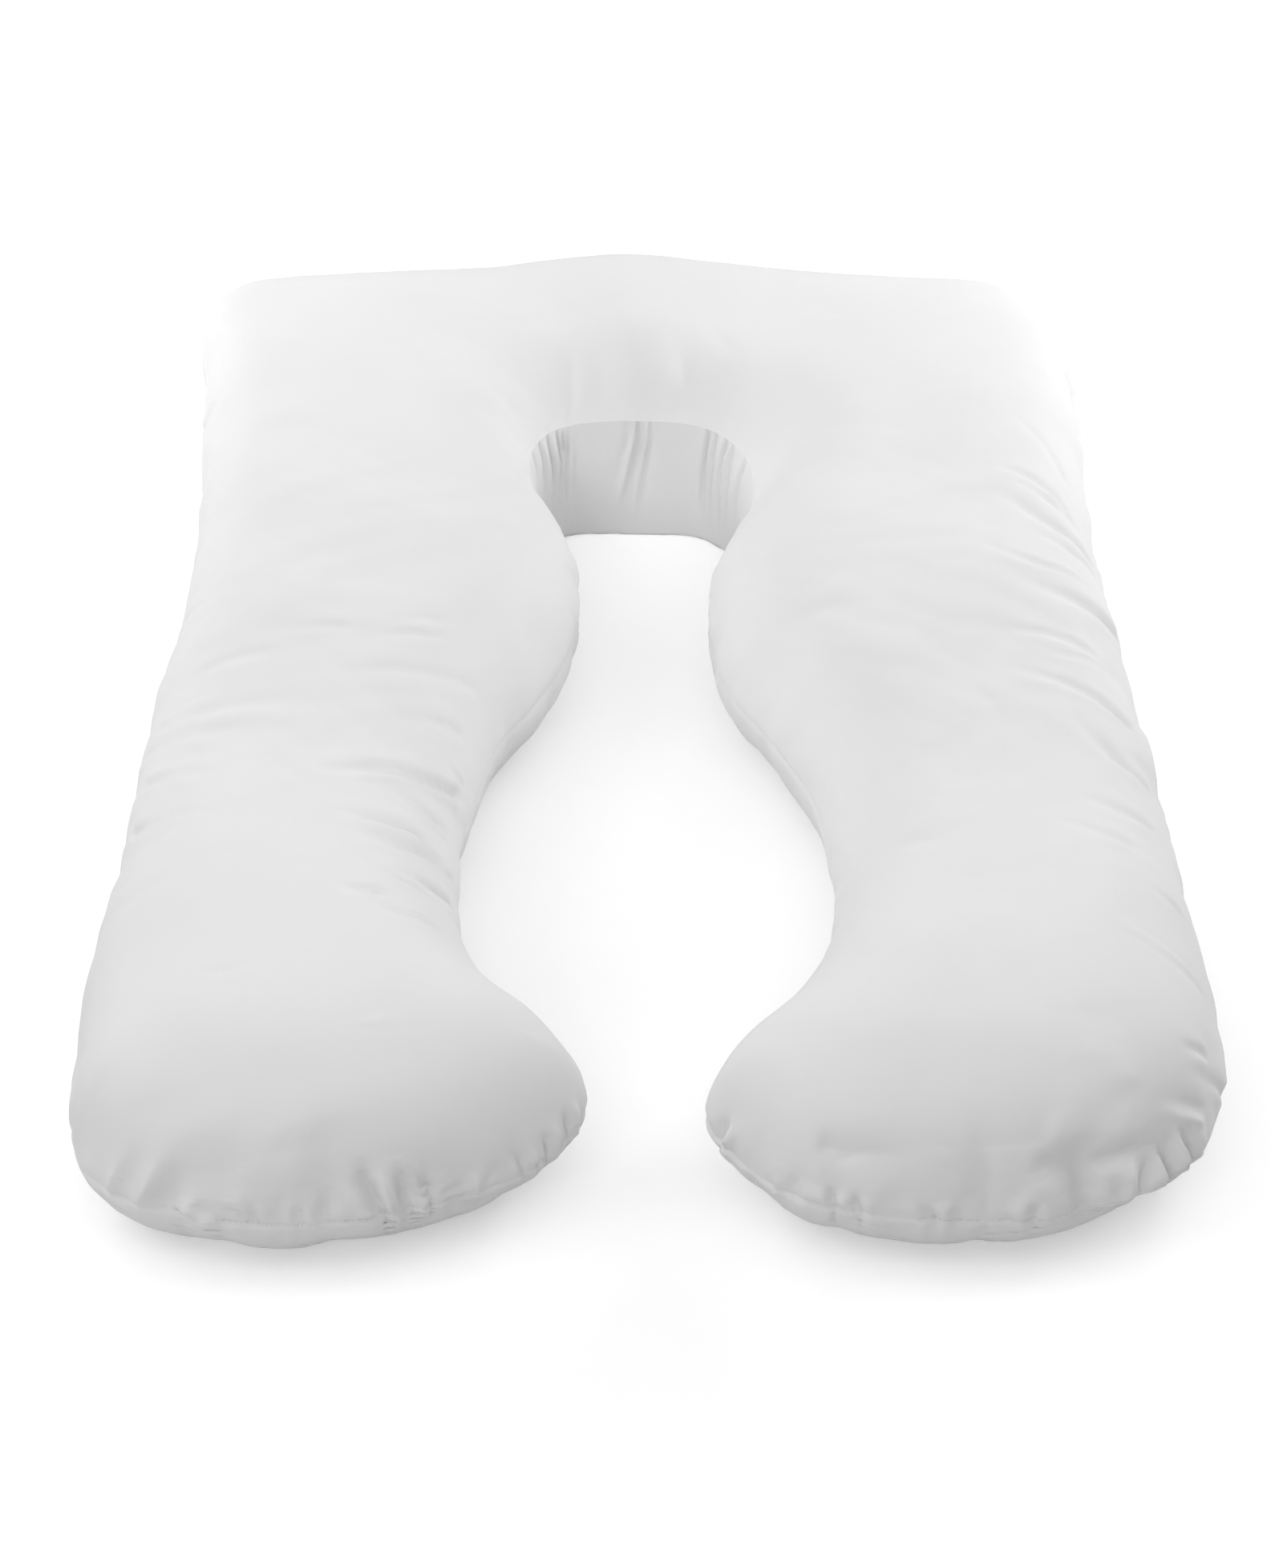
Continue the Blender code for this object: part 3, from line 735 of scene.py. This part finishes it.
def crease(offset):
    """The section of a crease: a narrow trough between two soft ridges, 1 from top to bottom."""
    ridges = RIDGE_HEIGHT * np.exp(-((offset / RIDGE_WIDTH) ** 2))
    return (ridges - np.exp(-(offset**TROUGH_SHARPNESS))) / CREASE_HEIGHT


def press(folds, surface, near, gap, faces_up):
    """How far each point of a surface moves outwards when the folds are pressed in."""
    points = surface.reshape(-1, 3)
    facing = outward(surface, faces_up).reshape(-1, 3)
    moved = np.zeros(len(points))
    for fold in folds:
        path, at_seam = fold_path(fold, points, facing, near.ravel(), gap.ravel())
        steps = np.diff(path, axis=0)
        length = np.linalg.norm(steps, axis=1).sum()
        reach = length / 2 + CREASE_REACH * fold.width / 1000
        close = np.flatnonzero(np.linalg.norm(points - path[FOLD_POINTS // 2], axis=1) < reach)
        from_start = points[close][:, None] - path[:-1]
        squares = np.maximum((steps**2).sum(axis=1), TINY**2)
        share = np.clip((from_start * steps).sum(axis=2) / squares, 0, 1)
        offset = np.linalg.norm(from_start - steps * share[..., None], axis=2)
        nearest = offset.argmin(axis=1)
        each = np.arange(len(close))
        run = (nearest + share[each, nearest]) / (FOLD_POINTS - 1)
        give = SEAM_GIVE if at_seam else 0
        started = give + (1 - give) * smooth_step(run * length / FOLD_START)
        kept = 1 - smooth_step((run - FOLD_FADES) / (1 - FOLD_FADES))
        width = fold.width / 1000 * (ROOT_WIDTH + WIDENING * run)
        moved[close] += fold.depth / 1000 * started * kept * crease(offset[each, nearest] / width)
    return moved.reshape(surface.shape[:2])


upper_press = press(UPPER_FOLDS, upper, upper_near, upper_gap, True)
lower_press = press(WALL_FOLDS, lower, lower_near, lower_gap, False)
print(f"folds reach {upper_press.min() * 1000:.1f} to {upper_press.max() * 1000:.1f} mm")

# %% [markdown]
# ## Gathers along the seam
# The stitches draw the seam a little shorter than the cotton beside it, so the cotton puckers all
# the way round. The puckers are fine at the seam and join into fewer, longer ones further in. They
# are made from three bands of smooth random waves that run along the seam, each fading out at its
# own distance from it. The waves' hollows are made deeper than their crests, as real gathers are,
# and the seam itself sways in and out a little with them.

# %% Puckers
Gather = namedtuple("Gather", "section inner outer")
GATHERS = (
    Gather(0, 0.9, 0.8),
    Gather(3, 1.1, 0.8),
    Gather(5, 0.7, 0.6),
    Gather(8, 0.9, 0.7),
    Gather(12, 1.0, 0.5),
    Gather(14, 0.4, 0.4),
    Gather(20, 0.2, 0.3),
    Gather(26, 0.4, 0.6),
    Gather(29, 0.9, 1.0),
    Gather(33, 0.6, 1.2),
    Gather(36, 0.6, 1.0),
    Gather(38, 1.0, 0.9),
    Gather(40, 1.0, 0.8),
)
Band = namedtuple("Band", "wave height fade")
BANDS = (Band(0.011, 0.0010, 0.009), Band(0.022, 0.0020, 0.020), Band(0.048, 0.0032, 0.040))
SWAY = Band(0.040, 0.0016, 0.020)
LEAN, LEAN_WAVE = 0.5, 0.09
STRENGTH, STRENGTH_SWING, STRENGTH_WAVE = 0.9, 0.5, 0.06
HOLLOWS = 0.6

gathers = np.array(GATHERS)
inner_gather = np.interp(along, gathers[:, 0], gathers[:, 1])
outer_gather = np.interp(along, gathers[:, 0], gathers[:, 2])
seam_gather = border(inner_gather[:, None] * (1 - across) + outer_gather[:, None] * across)
band_rings = [ring(band.wave) for band in BANDS]
lean_ring, strength_ring, sway_ring = ring(LEAN_WAVE), ring(STRENGTH_WAVE), ring(SWAY.wave)


def pucker(near, gap):
    """How far the gathers lift each point, from its nearest seam point and its distance to it."""
    run = seam_run[near]
    lean = LEAN * read_ring(lean_ring, run) * gap
    strength = STRENGTH + STRENGTH_SWING * read_ring(strength_ring, run)
    moved = np.zeros(run.shape)
    for band, heights in zip(BANDS, band_rings):
        wave = read_ring(heights, run + lean)
        swell = (gap / band.fade) * np.exp((1 - (gap / band.fade) ** 2) / 2)
        moved += band.height * (wave - HOLLOWS * np.abs(wave)) * strength * swell
    return moved * seam_gather[near]


upper_pucker = pucker(upper_near, upper_gap)
lower_pucker = pucker(lower_near, lower_gap)
print(f"puckers reach {np.abs(upper_pucker).max() * 1000:.1f} mm")

# %% [markdown]
# ## Soft lumps
# Loose fibre clumps as the pillow is used. Three sizes of very shallow random swellings keep the
# top from looking blown up like a balloon. They are higher where the cotton is slack, and die away
# towards the seam.

# %% Lumps
Lump = namedtuple("Lump", "size height")
LUMPS = (Lump(0.17, 0.0042), Lump(0.08, 0.0025), Lump(0.045, 0.0009))
LUMP_BASE, LUMP_FADE = 0.15, 0.06
upper_lump = sum(lump.height * patches(upper, lump.size) for lump in LUMPS)
upper_lump *= (LUMP_BASE + slack) * smooth_step(upper_gap / LUMP_FADE)
print(f"lumps reach {np.abs(upper_lump).max() * 1000:.1f} mm")

# %% [markdown]
# ## The seam line
# Where two stuffed panels meet, the thread pulls the cotton in to a narrow valley. Round the neck
# it is the other way about: the seam allowance stands behind the cotton there and makes a stiff
# flat band along the wall's top edge. Every shift that reaches the seam is given to both panels
# alike, and the rest fade out before it, so the panels stay joined. A soft cap keeps folds that
# cross from adding up too high.

# %% The seam line
Line = namedtuple("Line", "height width")
GROOVE = Line(0.0024, 0.0026)
NECK_LINE, NECK_LINE_PLACE = Line(0.0002, 0.0020), 0.004
NECK_BAND = Line(0.0009, 0.008)
NECK_BAND_RISE, NECK_BAND_FALL = 0.003, 0.002
LIFT_CAP = 0.012
WALL_FADE, UNDER_FADE = 0.010, 0.020
LAST_REACH, LAST_ROUNDS = CORNER_REACH / 3, 3

upper_facing, lower_facing = outward(upper, True), outward(lower, False)
seam_out = unit(border(upper_facing) + border(lower_facing))
sway = seam_out * (SWAY.height * read_ring(sway_ring, seam_run) * seam_gather)[:, None]
groove = -seam_out * (GROOVE.height * (1 - seam_neck))[:, None]


def seam_shift(near, gap):
    """How both panels follow the seam's own sway and its groove."""
    near_sway = np.exp(-gap / SWAY.fade)[..., None]
    near_groove = np.exp(-((gap / GROOVE.width) ** 2))[..., None]
    return sway[near] * near_sway + groove[near] * near_groove


upper_lift = LIFT_CAP * np.tanh((upper_press + upper_pucker + upper_lump) / LIFT_CAP)
neck_line = NECK_LINE.height * np.exp(-(((upper_gap - NECK_LINE_PLACE) / NECK_LINE.width) ** 2))
upper_lift += neck_line * seam_neck[upper_near]
fold_shift = border(upper_facing * upper_lift[..., None])
lower_lift = lower_press * smooth_step(lower_gap / WALL_FADE) + lower_pucker
neck_band = smooth_step(lower_gap / NECK_BAND_RISE)
neck_band *= smooth_step((NECK_BAND.width - lower_gap) / NECK_BAND_FALL)
lower_lift += NECK_BAND.height * neck_band * seam_neck[lower_near]
upper = upper + upper_facing * upper_lift[..., None] + seam_shift(upper_near, upper_gap)
follow = fold_shift[lower_near] * np.exp(-lower_gap / UNDER_FADE)[..., None]
lower = lower + lower_facing * lower_lift[..., None] + seam_shift(lower_near, lower_gap) + follow
upper, lower = (relax(surface, LAST_REACH, LAST_ROUNDS) for surface in (upper, lower))
lower[..., 2] = np.maximum(lower[..., 2], 0)
open_seam = np.linalg.norm(border(upper) - border(lower), axis=1).max()
print(f"the seam is open by {open_seam * 1000:.2f} mm at most")

# %% [markdown]
# ## The two panels
# Each grid of points becomes a mesh of quads, one for each panel, with its faces turned outwards.
# They are shaded smooth, because cloth bends and doesn't break into facets.

# %% Make the panels
upper_panel = make_panel("upper_panel", upper, True)
lower_panel = make_panel("lower_panel", lower, False)
print(f"{2 * len(upper_panel.data.polygons)} triangles in each panel")

# %% [markdown]
# ## The closing stitches
# The filling goes in through a gap in the seam under each foot. The gap is then closed by hand
# from outside, and its short slanted stitches stay in sight. Each one is a thread that leaves the
# lower panel, dips towards the seam and goes into the upper panel a little further on. Real
# threads are curves with a round bevel, so these are too.

# %% Stitches
Closing = namedtuple("Closing", "row beside start end")
CLOSINGS = (Closing(0, 1, -0.345, -0.160), Closing(-1, -2, 0.213, 0.343))
STITCH_PITCH = 0.0034
STITCH_REACH = 0.0019
STITCH_SLANT = 0.0011
STITCH_DIP = 0.4
STITCH_WANDER = 0.3
THREAD_RADIUS = 0.00024


def at_x(line, x):
    """The points of a line of points where it has these x values."""
    order = line[:, 0].argsort()
    places = [np.interp(x, line[order, 0], line[order, axis]) for axis in range(3)]
    return np.stack(places, axis=-1)


def stitch_points(closing):
    """Each stitch of a closing as five points, from the lower panel over to the upper one."""
    count = round((closing.end - closing.start) / STITCH_PITCH)
    wander = random.uniform(-STITCH_WANDER, STITCH_WANDER, count) * STITCH_PITCH
    x = np.linspace(closing.start, closing.end, count) + wander
    seam = upper[closing.row]
    below = seam + unit(lower[closing.beside] - seam) * STITCH_REACH
    above = seam + unit(upper[closing.beside] - seam) * STITCH_REACH
    start, end = at_x(below, x - STITCH_SLANT / 2), at_x(above, x + STITCH_SLANT / 2)
    middle = (start + end) / 2 * (1 - STITCH_DIP) + at_x(seam, x) * STITCH_DIP
    return np.stack([start, (start + 2 * middle) / 3, middle, (end + 2 * middle) / 3, end], axis=1)


thread = bpy.data.curves.new("thread", "CURVE")
thread.dimensions = "3D"
thread.bevel_depth = THREAD_RADIUS
thread.bevel_resolution = 1
thread.use_fill_caps = True
for closing in CLOSINGS:
    for points in stitch_points(closing):
        spline = thread.splines.new("POLY")
        spline.points.add(len(points) - 1)
        weighted = np.append(points, np.ones((len(points), 1)), axis=1)
        spline.points.foreach_set("co", weighted.ravel())
thread_run = bpy.data.objects.new("thread", thread)
bpy.context.scene.collection.objects.link(thread_run)
stitches = bpy.data.objects.new("closing_stitches", bpy.data.meshes.new_from_object(thread_run))
stitches.data.shade_smooth()
bpy.context.scene.collection.objects.link(stitches)
bpy.data.objects.remove(thread_run)
print(len(thread.splines), "closing stitches")

# %% [markdown]
# ## Arithmetic for materials
# A finish is a small sum: so much weave, plus a little crumple, less a bit where the cotton is
# worn. Written as nodes by hand, that sum takes dozens of lines. This class wraps one socket, so
# that Python's own plus, minus and times add the Math nodes. Every other kind of node comes from
# its one node method.

# %% Sockets that add up
class Socket:
    """One output socket of a material, or the material's empty node tree to start from."""

    def __init__(self, tree, socket=None):
        self.tree, self.socket = tree, socket

    def feed(self, node, values):
        """Give each named input of a node its value, or a link from another socket."""
        for name, value in values.items():
            if isinstance(value, Socket):
                self.tree.links.new(value.socket, node.inputs[name])
            else:
                node.inputs[name].default_value = value

    def node(self, kind, settings=None, values=None, output=0):
        """Add a node: its settings first, then a value or a link for each named socket."""
        made = self.tree.nodes.new(kind)
        for name, setting in (settings or {}).items():
            setattr(made, name, setting)
        self.feed(made, values or {})
        return Socket(self.tree, made.outputs[output])

    def axes(self):
        """The x, y and z of a vector."""
        split = self.node("ShaderNodeSeparateXYZ", values={0: self}).socket.node
        return [Socket(self.tree, output) for output in split.outputs]

    def math(self, operation, first, second=0.0):
        return self.node("ShaderNodeMath", {"operation": operation}, {0: first, 1: second})

    def sine(self):
        return self.math("SINE", self)

    def __add__(self, other):
        return self.math("ADD", self, other)

    def __sub__(self, other):
        return self.math("SUBTRACT", self, other)

    def __rsub__(self, other):
        return self.math("SUBTRACT", other, self)

    def __mul__(self, other):
        return self.math("MULTIPLY", self, other)

    __radd__ = __add__
    __rmul__ = __mul__


def new_material(name):
    """A material, the start of its nodes, and its Principled shader."""
    material = bpy.data.materials.new(name)
    material.use_nodes = True
    return material, Socket(material.node_tree), material.node_tree.nodes["Principled BSDF"]

# %% [markdown]
# ## White cotton
# The cover is bleached plain-woven cotton: each thread goes over one thread and under the next. At
# this size the weave hardly shows, but it breaks up the light and keeps the white from looking
# like plastic. Three sine waves, one to an axis, make it without any unwrapping: on a face that
# looks along one axis, the other two axes carry the threads. Stretched noise makes some threads
# thicker, a finer noise gives the slight crumple of cotton that was washed and never ironed, and a
# wide, faint mottle stops the colour from being one flat number.

# %% Cotton
THREAD_PITCH = 0.0008
SLUB = {"along": 30, "across": 800, "amount": 0.5}
CRUMPLE = {"size": 110, "amount": 6.0}
MOTTLE = {"size": 7, "light": (0.83, 0.83, 0.83, 1), "dark": (0.785, 0.785, 0.785, 1), "slub": 0.2}
ROUGHNESS = {"base": 0.78, "mottle": 0.12, "weave": 0.03}
COTTON = {"Specular IOR Level": 0.3, "Sheen Weight": 0.05, "Sheen Roughness": 0.5}
WEAVE_HEIGHT = 0.00002


def plain_weave(place, facing, pitch):
    """Threads that go over and under each other: a height from -1 to 1 on any face."""
    x, y, z = [(axis * (math.tau / pitch)).sine() for axis in place.axes()]
    along_x, along_y, along_z = [axis * axis for axis in facing.axes()]
    return x * y * along_z + y * z * along_x + x * z * along_y


def noise(place, scale, detail):
    """Soft noise from 0 to 1. Scale is how many waves a metre has along each axis."""
    stretched = place.node("ShaderNodeVectorMath", {"operation": "MULTIPLY"}, {0: place, 1: scale})
    values = {"Vector": stretched, "Scale": 1, "Detail": detail}
    return stretched.node("ShaderNodeTexNoise", values=values)


cotton, start, shader = new_material("cotton")
place = start.node("ShaderNodeTexCoord", output="Object")
facing = start.node("ShaderNodeTexCoord", output="Normal")
weave = plain_weave(place, facing, THREAD_PITCH)
weft_slub = noise(place, (SLUB["along"], SLUB["across"], SLUB["along"]), 1)
warp_slub = noise(place, (SLUB["across"], SLUB["along"], SLUB["along"]), 1)
slub = (weft_slub + warp_slub - 1) * SLUB["amount"]
crumple = noise(place, (CRUMPLE["size"],) * 3, 4) * CRUMPLE["amount"]
mottle = noise(place, (MOTTLE["size"],) * 3, 3)
height = weave * (1 + slub) + slub + crumple
bump = height.node("ShaderNodeBump", values={"Height": height, "Distance": WEAVE_HEIGHT})
colour = mottle.node(
    "ShaderNodeMix",
    {"data_type": "RGBA"},
    {"Factor": mottle - slub * MOTTLE["slub"], 6: MOTTLE["light"], 7: MOTTLE["dark"]},
    output=2,
)
roughness = ROUGHNESS["base"] + mottle * ROUGHNESS["mottle"] - weave * ROUGHNESS["weave"]
start.feed(shader, {"Base Color": colour, "Roughness": roughness, "Normal": bump, **COTTON})
for piece in (upper_panel, lower_panel):
    piece.data.materials.append(cotton)
print(len(cotton.node_tree.nodes), "nodes in the cotton")

# %% [markdown]
# ## Sewing thread
# The thread is spun polyester, a little smoother than the cotton and just as white. It is twisted,
# so its light and dark repeat along it in fine slanted turns.

# %% Thread
TWIST_PITCH, TWIST_HEIGHT = 0.0006, 0.00004
THREAD_WHITE = (0.80, 0.80, 0.80, 1)
polyester, start, shader = new_material("thread")
x, y, z = start.node("ShaderNodeTexCoord", output="Object").axes()
twist = ((x + z) * (math.tau / TWIST_PITCH)).sine()
bump = twist.node("ShaderNodeBump", values={"Height": twist, "Distance": TWIST_HEIGHT})
start.feed(shader, {"Normal": bump, "Roughness": 0.5 + twist * 0.05, "Base Color": THREAD_WHITE})
stitches.data.materials.append(polyester)

# %% [markdown]
# ## The floor
# The pillow lies on white studio paper. Paper that is bright enough to look white would throw so
# much light back up that the sides of the feet lose their shading, so a part of its brightness is
# a glow that only the camera's own rays see, which is painted light. The glow is weak round the
# pillow, which paints a darker ring there as a painted shadow over the soft shadow that the lamps
# cast, and full from two metres out.

# %% Floor
GLOW_NEAR, GLOW_FAR = 0.33, 1.0
GLOW_STARTS, GLOW_ENDS = 0.85, 2.0
PAPER_SIZE = 60
PAPER_WHITE = (0.8, 0.8, 0.8, 1)
bpy.ops.mesh.primitive_plane_add(size=PAPER_SIZE)
floor = bpy.context.object
floor.name = "floor"
paper, start, shader = new_material("paper")
place = start.node("ShaderNodeNewGeometry", output="Position")
reach = place.node("ShaderNodeVectorMath", {"operation": "LENGTH"}, {0: place}, output="Value")
limits = {"From Min": GLOW_STARTS, "From Max": GLOW_ENDS, "To Min": GLOW_NEAR, "To Max": GLOW_FAR}
smoothly = {"interpolation_type": "SMOOTHSTEP"}
# Painted light: a camera-only glow on the paper, lower near the pillow as a painted shadow.
glow = reach.node("ShaderNodeMapRange", smoothly, {"Value": reach, **limits})
seen = start.node("ShaderNodeLightPath", output="Is Camera Ray")
start.feed(shader, {"Emission Color": glow * seen, "Emission Strength": 1})
start.feed(shader, {"Base Color": PAPER_WHITE, "Roughness": 1})
floor.data.materials.append(paper)

# %% [markdown]
# ## Soft light
# White cloth shows its shape only by small steps of grey, so the light comes from large softboxes:
# three in a row overhead and one in front, which leaves the feet a little darker than the top.
# Boxes at the sides and behind the corners rake over the ripples and brighten the far edges, which
# then melt into the white floor. A faint card on the floor between the legs throws a little light
# on the flanks that face each other. The room beyond the paper gives almost no light, and is white
# only to the camera, so a low view shows the same clean background.

# %% Light
WORLD_LIGHT = 0.01
Softbox = namedtuple("Softbox", "name place aim size power")
SOFTBOXES = (
    Softbox("over_middle", (0, 0, 3.0), (0, 0, 0), (6.0, 1.0), 35),
    Softbox("over_legs", (0, -1.0, 3.0), (0, -1.0, 0), (6.0, 1.0), 16.6),
    Softbox("over_feet", (0, -1.7, 2.6), (0, -0.7, 0), (3.0, 1.2), 10.7),
    Softbox("front", (-0.5, -3.2, 1.9), (0, -0.6, 0), (3.0, 1.0), 30),
    Softbox("left_high", (-2.3, -1.0, 2.3), (0, -0.4, 0), (2.0, 1.2), 14.5),
    Softbox("left_low", (-3.0, -1.0, 1.0), (0, -0.4, 0), (2.0, 1.2), 4.1),
    Softbox("right_high", (2.3, 0.8, 2.3), (0, 0.2, 0), (2.0, 1.2), 6.5),
    Softbox("right_low", (3.0, 0.8, 1.0), (0, 0.2, 0), (2.0, 1.2), 19.4),
    Softbox("left_edge", (-1.6, 0.4, 0.7), (-0.35, 0.35, 0.1), (1.0, 0.5), 3.2),
    Softbox("right_edge", (1.6, 0.4, 0.7), (0.35, 0.35, 0.1), (1.0, 0.5), 1.6),
    Softbox("left_corner", (-1.3, 1.4, 0.8), (-0.35, 0.6, 0.1), (0.8, 0.6), 12.3),
    Softbox("right_corner", (1.3, 1.4, 0.8), (0.35, 0.6, 0.1), (0.8, 0.6), 13.3),
    Softbox("bar_top", (0, 1.7, 1.6), (0, 0.6, 0.1), (1.8, 0.8), 1.5),
    Softbox("card_between_legs", (0, -0.22, 0.012), (0, -0.22, 1), (0.1, 0.5), 0.07),
)
for softbox in SOFTBOXES:
    lamp = bpy.data.lights.new(softbox.name, "AREA")
    lamp.shape = "RECTANGLE"
    lamp.size, lamp.size_y = softbox.size
    lamp.energy = softbox.power
    holder = bpy.data.objects.new(softbox.name, lamp)
    holder.location = softbox.place
    holder.visible_camera = False
    aim = Vector(softbox.aim) - Vector(softbox.place)
    holder.rotation_euler = aim.to_track_quat("-Z", "Y").to_euler()
    bpy.context.scene.collection.objects.link(holder)

world = bpy.data.worlds.new("studio")
bpy.context.scene.world = world
world.use_nodes = True
room = Socket(world.node_tree)
seen = room.node("ShaderNodeLightPath", output="Is Camera Ray")
strength = room.math("MAXIMUM", seen, WORLD_LIGHT)
room.feed(world.node_tree.nodes["Background"], {"Color": (1, 1, 1, 1), "Strength": strength})
bpy.context.scene.view_settings.view_transform = "Standard"
print(len(SOFTBOXES), "softboxes")

# %% [markdown]
# ## The camera
# A long lens from above the feet, far enough away that the legs stay nearly parallel. It looks
# straight along the pillow and down by 36 degrees, so the whole U shows, with the neck notch's
# wall and the fronts of the feet.

# %% Camera
CAMERA_PLACE = Vector((0, -2.724, 1.929))
CAMERA_DIP = math.radians(35.94)
SENSOR_WIDTH, FOCAL_LENGTH = 36, 80.98
camera = bpy.data.objects.new("camera", bpy.data.cameras.new("camera"))
camera.location = CAMERA_PLACE
camera.rotation_euler = (math.pi / 2 - CAMERA_DIP, 0, 0)
camera.data.sensor_width = SENSOR_WIDTH
camera.data.lens = FOCAL_LENGTH
bpy.context.scene.collection.objects.link(camera)
bpy.context.scene.camera = camera

# %% [markdown]
# ## Hand over to the frame
# The pillow has no joints, so every piece rides on its root. The two panels stand for the plain
# solid, which stays hidden for collision.

# %% Finish
for piece in (upper_panel, lower_panel, stitches):
    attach(piece, "root")
for piece in (upper_panel, lower_panel):
    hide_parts("pillow")
